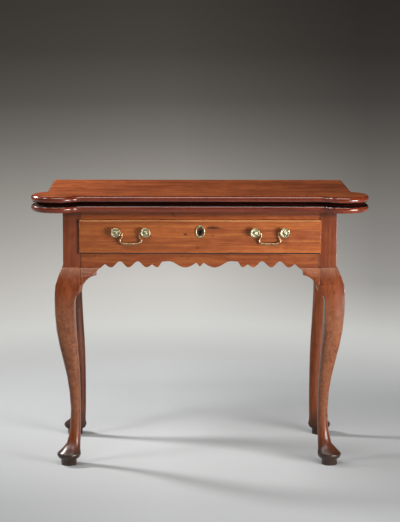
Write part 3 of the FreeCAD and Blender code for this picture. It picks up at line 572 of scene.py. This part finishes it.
def rosette_and_post(bm, x, posts):
    """One post: its outline is turned about the post's axis, then petals and dimples are pressed in."""
    low, high = posts
    height = (low.z + high.z) / 2
    start = len(bm.verts)
    # Radius and distance in front of the drawer's face, from the shank to the middle of the boss
    outline = [(0.0025, face_y - high.y), (0.0025, 0.0), (0.0058, 0.0), (0.0062, 0.0016),
               (0.0048, 0.0022), (0.0048, 0.0105), (0.0085, 0.0113), (0.0116, 0.0124),
               (0.0120, 0.0136), (0.0115, 0.0148), (0.0102, 0.0152), (0.0088, 0.0148),
               (0.0070, 0.0142), (0.0050, 0.0140), (0.0042, 0.0146), (0.0036, 0.0156),
               (0.0020, 0.0164), (0.0004, 0.0166)]
    line = [bm.verts.new((x + radius, face_y - forward, height)) for radius, forward in outline]
    edges = [bm.edges.new(pair) for pair in zip(line, line[1:])]
    bmesh.ops.spin(bm, geom=line + edges, cent=(x, 0, height), axis=(0, 1, 0), angle=2 * math.pi,
                   steps=64, use_merge=True, use_duplicate=False)
    bm.verts.ensure_lookup_table()
    for vert in bm.verts[start:]:
        out = Vector((vert.co.x - x, 0, vert.co.z - height))
        radius = out.length
        if vert.co.y > face_y - head_back or radius < boss_radius:
            continue
        share = (radius - boss_radius) / (rosette_radius - boss_radius)
        lobe = math.cos(petals * math.atan2(out.z, out.x))
        vert.co += out.normalized() * share * (rosette_spread - notch_depth * (1 - lobe) / 2)
        hollow = math.exp(-((radius - dimple_ring) / dimple_width) ** 2) * max(lobe, 0.0)
        vert.co.y += dimple_depth * hollow - crown_height * share * lobe


for side in ("left", "right"):
    node = side + "_pull_posts"
    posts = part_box(node)
    bm = bmesh.new()
    for x in (posts[0].x + rosette_radius, posts[1].x - rosette_radius):
        rosette_and_post(bm, x, posts)
    bmesh.ops.remove_doubles(bm, verts=bm.verts, dist=1e-6)
    bmesh.ops.holes_fill(bm, edges=bm.edges, sides=0)
    bmesh.ops.recalc_face_normals(bm, faces=bm.faces)
    stand_in(node, bm, rosette_brass, sharp=60)
eased(stand_in("pull_nuts", merged_copy("pull_nuts"), rosette_brass), nut_arris)


def bail_rod(node):
    """A smooth rod that thickens towards its middle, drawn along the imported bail's line."""
    low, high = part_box(node)
    middle = (low.x + high.x) / 2
    reach = (high.x - low.x) / 2
    y = (low.y + high.y) / 2
    pin_z = high.z - (high.y - low.y) / 2
    line_radius = 0.001
    curve = bpy.data.curves.new(node + "_line", "CURVE")
    curve.dimensions = "3D"
    line = curve.splines.new("NURBS")
    # Half of the line from the pin's end: distance from the middle, drop below the pin, half thickness
    half = [(reach, 0.0, 0.0024), (0.0300, 0.0, 0.0024), (0.0230, -0.0004, 0.0024),
            (0.0222, 0.0080, 0.0023), (0.0224, 0.0128, 0.0023), (0.0276, 0.0180, 0.0023),
            (0.0272, 0.0262, 0.0026), (0.0190, 0.0288, 0.0029), (0.0095, 0.0299, 0.0032)]
    points = [(-x, drop, thick) for x, drop, thick in half] + [(0.0, 0.0300, 0.0033)]
    points += [(x, drop, thick) for x, drop, thick in reversed(half)]
    line.points.add(len(points) - 1)
    for point, (x, drop, thick) in zip(line.points, points):
        point.co = (middle + x, y, pin_z - drop, 1.0)
        point.radius = thick / line_radius
    line.order_u = 4
    line.use_endpoint_u = True
    line.resolution_u = 8
    curve.bevel_depth = line_radius
    curve.bevel_resolution = 5
    curve.use_fill_caps = True
    drawn = placed(node + "_line", curve)
    bpy.context.view_layer.update()
    mesh = bpy.data.meshes.new_from_object(drawn.evaluated_get(bpy.context.evaluated_depsgraph_get()))
    bpy.data.objects.remove(drawn)
    bm = bmesh.new()
    bm.from_mesh(mesh)
    bpy.data.meshes.remove(mesh)
    bmesh.ops.remove_doubles(bm, verts=bm.verts, dist=1e-6)
    return bm


for node in ("left_bail", "right_bail"):
    stand_in(node, bail_rod(node), bail_brass, sharp=60)


# Escutcheon: a thin cast oval of brass, pinned to the drawer front round the keyhole, with its rim
# rounded over.
def oval_ring(node):
    """The rim's section is turned to a round ring, which is then squeezed to the oval's width."""
    low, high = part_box(node)
    centre = (low + high) / 2
    tall = (high.z - low.z) / 2
    wide = (high.x - low.x) / 2
    rim_width = 0.0048
    inner = tall - rim_width
    bm = bmesh.new()
    section = [(tall, high.y), (tall, low.y + 0.0011), (tall - 0.0006, low.y + 0.0004),
               (tall - 0.0014, low.y), (inner + 0.0013, low.y + 0.0001),
               (inner + 0.0004, low.y + 0.0006), (inner, low.y + 0.0014), (inner, high.y)]
    line = [bm.verts.new((centre.x + radius, y, centre.z)) for radius, y in section]
    edges = [bm.edges.new(pair) for pair in zip(line, line[1:] + line[:1])]
    bmesh.ops.spin(bm, geom=line + edges, cent=centre, axis=(0, 1, 0), angle=2 * math.pi, steps=72,
                   use_merge=True, use_duplicate=False)
    bmesh.ops.scale(bm, vec=(wide / tall, 1, 1), verts=bm.verts, space=Matrix.Translation(-centre))
    bmesh.ops.recalc_face_normals(bm, faces=bm.faces)
    return bm


stand_in("escutcheon", oval_ring("escutcheon"), rosette_brass, sharp=50)


# Card-table hinges: flat brass straps let into the rear ends of the two leaves, each pair joined by
# a small link that turns on two pins.
hinge_brass = aged_brass("rolled brass, aged", "#b99a5a", "#77623a", 0.32)
strap_arris = 0.0003
for node in ("left_hinge_lower_plate", "right_hinge_lower_plate", "left_hinge_flap_plate",
             "right_hinge_flap_plate", "left_hinge_link", "right_hinge_link", "hinge_lower_pins",
             "hinge_flap_pins"):
    eased(stand_in(node, merged_copy(node), hinge_brass), strap_arris)


# Screws: hand-filed countersunk heads with a narrow slot, brass in the hinge straps and iron in the
# lock, each turned home a hair proud of its plate.
def screw_heads(name, body, places, outward, radius, metal):
    """A disc with a short skirt at each place, with a slot sunk across it at an angle of its own."""
    slot_half = 0.00035
    slot_depth = 0.0004
    skirt_depth = 0.0006
    bm = bmesh.new()
    for place in places:
        head = bmesh.new()
        bmesh.ops.create_circle(head, cap_ends=True, radius=radius, segments=24)
        rim = bmesh.ops.extrude_edge_only(head, edges=head.edges[:])
        skirt = [item for item in rim["geom"] if isinstance(item, bmesh.types.BMVert)]
        bmesh.ops.translate(head, verts=skirt, vec=(0, 0, -skirt_depth))
        for offset in (-slot_half, slot_half):
            bmesh.ops.bisect_plane(head, geom=head.verts[:] + head.edges[:] + head.faces[:],
                                   plane_co=(offset, 0, 0), plane_no=(1, 0, 0))
        strip = [face for face in head.faces
                 if abs(face.calc_center_median().x) < slot_half and abs(face.normal.z) > 0.9]
        sunk = bmesh.ops.extrude_discrete_faces(head, faces=strip)
        bmesh.ops.translate(head, verts=list({vert for face in sunk["faces"] for vert in face.verts}),
                            vec=(0, 0, -slot_depth))
        slot_turn = Matrix.Rotation(place[1] * 90 + place[0] * 7, 3, "Z")
        bmesh.ops.rotate(head, verts=head.verts, matrix=slot_turn)
        facing = Vector(outward).to_track_quat("Z", "Y").to_matrix().to_4x4()
        bmesh.ops.transform(head, verts=head.verts, matrix=Matrix.Translation(place) @ facing)
        spare = bpy.data.meshes.new("spare")
        head.to_mesh(spare)
        head.free()
        bm.from_mesh(spare)
        bpy.data.meshes.remove(spare)
    piece = placed(name, skin_mesh(name, bm, metal))
    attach(piece, body)


proud = 0.00015
hinge_screw_radius = 0.0025
hinge_screw_steps = (0.008, 0.026)
lock_screw_radius = 0.0028
lock_screw_inset = 0.006
for side, outward in (("left", (-1, 0, 0)), ("right", (1, 0, 0))):
    for leaf, body in (("lower", "frame"), ("flap", "flap")):
        low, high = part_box(side + "_hinge_" + leaf + "_plate")
        face_x = low.x - proud if side == "left" else high.x + proud
        spots = [(face_x, low.y + step, (low.z + high.z) / 2) for step in hinge_screw_steps]
        screw_heads(side + "_hinge_" + leaf + "_screws", body, spots, outward, hinge_screw_radius,
                    hinge_brass)
low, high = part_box("lock_case")
spots = [(x, high.y + proud, z)
         for x in (low.x + lock_screw_inset, high.x - lock_screw_inset)
         for z in (low.z + lock_screw_inset, high.z - lock_screw_inset)]
screw_heads("lock_screws", "drawer", spots, (0, 1, 0), lock_screw_radius, iron)


# Floor and backdrop: one wide level sheet of pale matt paper, which takes the table's shadow near by;
# far behind it a painted glow stands in for its light, falling off into the dark of the room.
eye_side = -0.0784
eye_back = 4.7418
eye_height = 1.2499
room_shade = "#3b3834"
steepest = 0.20
floor_radius = 250
# Each far tone: slope of the view down to the floor, colour there
far_tones = [(0.166, "#ccc9c4"), (0.1385, "#b1aea9"), (0.1206, "#a09d97"), (0.1012, "#8a8580"),
             (0.0866, "#76726d"), (0.0646, "#5a5752"), (0.0378, "#46433e")]


def looked_at(tree):
    """1 for what is seen, in a mirror or through glass too, and 0 for the light it sheds."""
    rays = add(tree, "ShaderNodeLightPath")
    seen = add(tree, "ShaderNodeMath", {"operation": "MAXIMUM"},
               {0: rays.outputs["Is Camera Ray"], 1: rays.outputs["Is Glossy Ray"]})
    return add(tree, "ShaderNodeMath", {"operation": "MAXIMUM"},
               {0: seen.outputs[0], 1: rays.outputs["Is Transmission Ray"]}).outputs[0]


def matt_paper():
    """Matt paper: light and shadow round the table, and far off a painted glow of falling tone."""
    material, tree, shader, spot = bare_material("matt grey paper")
    shader.inputs["Roughness"].default_value = 0.9
    place = add(tree, "ShaderNodeSeparateXYZ", None, {"Vector": spot})
    # Painted light and shade: the paper is paler towards the back and darker on the left, evening out the
    # lamps
    sheet = layered(tree, "#b7b8b8", "#e4e5e5", place.outputs["Y"], -0.5, 0.9)
    left = add(tree, "ShaderNodeMapRange", {"From Min": -1.1, "From Max": -0.1, "To Min": 0.40},
               {"Value": place.outputs["X"]})
    sheet = add(tree, "ShaderNodeVectorMath", {"operation": "SCALE"},
                {"Vector": sheet, "Scale": left.outputs["Result"]})
    tree.links.new(sheet.outputs["Vector"], shader.inputs["Base Color"])
    # Far off, the tone follows the slope at which the photographer looks down on the floor
    away = add(tree, "ShaderNodeVectorMath", {"operation": "LENGTH"}, {0: spot})
    reach = add(tree, "ShaderNodeMath", {"operation": "ADD", 1: eye_back}, {0: away.outputs["Value"]})
    slope = add(tree, "ShaderNodeMath", {"operation": "DIVIDE", 0: eye_height}, {1: reach.outputs[0]})
    share = add(tree, "ShaderNodeMapRange", {"From Min": steepest, "From Max": 0.0},
                {"Value": slope.outputs[0]})
    falling = add(tree, "ShaderNodeValToRGB", None, {0: share.outputs["Result"]})
    tones = falling.color_ramp.elements
    for steepness, tone in far_tones:
        tones.new(1 - steepness / steepest).color = linear(tone)
    tones[0].color = linear("#d7d8d4")
    tones[-1].color = linear(room_shade)
    # The painted glow darkens towards both sides, most of all on the right
    aside = add(tree, "ShaderNodeMath", {"operation": "DIVIDE"},
                {0: place.outputs["X"], 1: reach.outputs[0]})
    right = add(tree, "ShaderNodeMapRange", {"From Max": 0.104, "To Min": 1.0, "To Max": 0.55},
                {"Value": aside.outputs[0]})
    side = add(tree, "ShaderNodeMapRange", {"From Min": -0.104, "From Max": -0.026, "To Min": 0.84},
               {"Value": aside.outputs[0]})
    side = add(tree, "ShaderNodeMath", {"operation": "MULTIPLY"},
               {0: right.outputs["Result"], 1: side.outputs["Result"]})
    raised = add(tree, "ShaderNodeMapRange", {"From Min": 0.205, "From Max": 0.165},
                 {"Value": slope.outputs[0]})
    side = add(tree, "ShaderNodeMix", {2: 1.0}, {0: raised.outputs["Result"], 3: side.outputs[0]})
    glow = add(tree, "ShaderNodeEmission", None,
               {"Color": falling.outputs["Color"], "Strength": side.outputs[0]})
    far = add(tree, "ShaderNodeMapRange",
              {"From Min": 0.8, "From Max": 1.9, "interpolation_type": "SMOOTHSTEP"},
              {"Value": away.outputs["Value"]})
    shown = add(tree, "ShaderNodeMath", {"operation": "MULTIPLY"},
                {0: looked_at(tree), 1: far.outputs["Result"]})
    mixed = add(tree, "ShaderNodeMixShader", None,
                {0: shown.outputs[0], 1: shader.outputs["BSDF"], 2: glow.outputs["Emission"]})
    tree.links.new(mixed.outputs["Shader"], tree.nodes["Material Output"].inputs["Surface"])
    return material


bm = bmesh.new()
bmesh.ops.create_circle(bm, cap_ends=True, radius=floor_radius, segments=64)
floor = placed("paper_floor", skin_mesh("paper_floor", bm, matt_paper()))


# Light: a small soft lamp close by on the left, a second one above the front left corner, a larger one
# on the front right, no higher than the top, so that it throws no glare on it, a long weak panel above,
# and a dim room.
def soft_lamp(name, place, aim, width, height, power, fan=180):
    """An oblong lamp turned to what it lights; `fan` is the angle over which it spreads."""
    lamp = bpy.data.lights.new(name, "AREA")
    lamp.shape = "RECTANGLE"
    lamp.size = width
    lamp.size_y = height
    lamp.energy = power
    lamp.spread = math.radians(fan)
    holder = placed(name, lamp)
    holder.location = place
    holder.rotation_euler = (Vector(aim) - Vector(place)).to_track_quat("-Z", "Y").to_euler()


soft_lamp("left_lamp", (-1.40, 0.42, 1.28), (0, 0, 0.3), 0.25, 0.25, 27)
soft_lamp("upper_left_lamp", (-1.60, -0.75, 2.05), (0, 0, 0.4), 0.40, 0.40, 11.8)
soft_lamp("front_right_lamp", (1.50, -1.35, 0.46), (0, -0.1, 0.50), 1.0, 0.35, 9.2, 70)
soft_lamp("top_panel", (0.0, -1.50, 2.30), (0, -0.1, 0.6), 2.0, 0.5, 24)
world = bpy.data.worlds.new("dim room")
bpy.context.scene.world = world
world.use_nodes = True
tree = world.node_tree
room_light = tree.nodes["Background"]
room_light.inputs["Color"].default_value = linear("#bfc2c4")
room_light.inputs["Strength"].default_value = 0.20
room_dark = add(tree, "ShaderNodeBackground", {"Color": linear(room_shade)})
room = add(tree, "ShaderNodeMixShader", None,
           {0: looked_at(tree), 1: room_light.outputs[0], 2: room_dark.outputs[0]})
tree.links.new(room.outputs[0], tree.nodes["World Output"].inputs["Surface"])


# Camera: as far off and as high as the photograph's, turned and rolled to its viewing angle, with a
# long lens that takes in the photograph's frame.
lens = bpy.data.cameras.new("camera")
lens.sensor_fit = "HORIZONTAL"
lens.sensor_width = 36
lens.lens = 162.78
camera = placed("camera", lens)
turn = Matrix.Rotation(math.radians(-0.98), 4, "Z")
tilt = Matrix.Rotation(math.radians(90 - 8.81), 4, "X")
roll = Matrix.Rotation(math.radians(0.18), 4, "Z")
camera.matrix_world = Matrix.Translation((eye_side, -eye_back, eye_height)) @ turn @ tilt @ roll
bpy.context.scene.camera = camera
bpy.context.scene.view_settings.view_transform = "Standard"
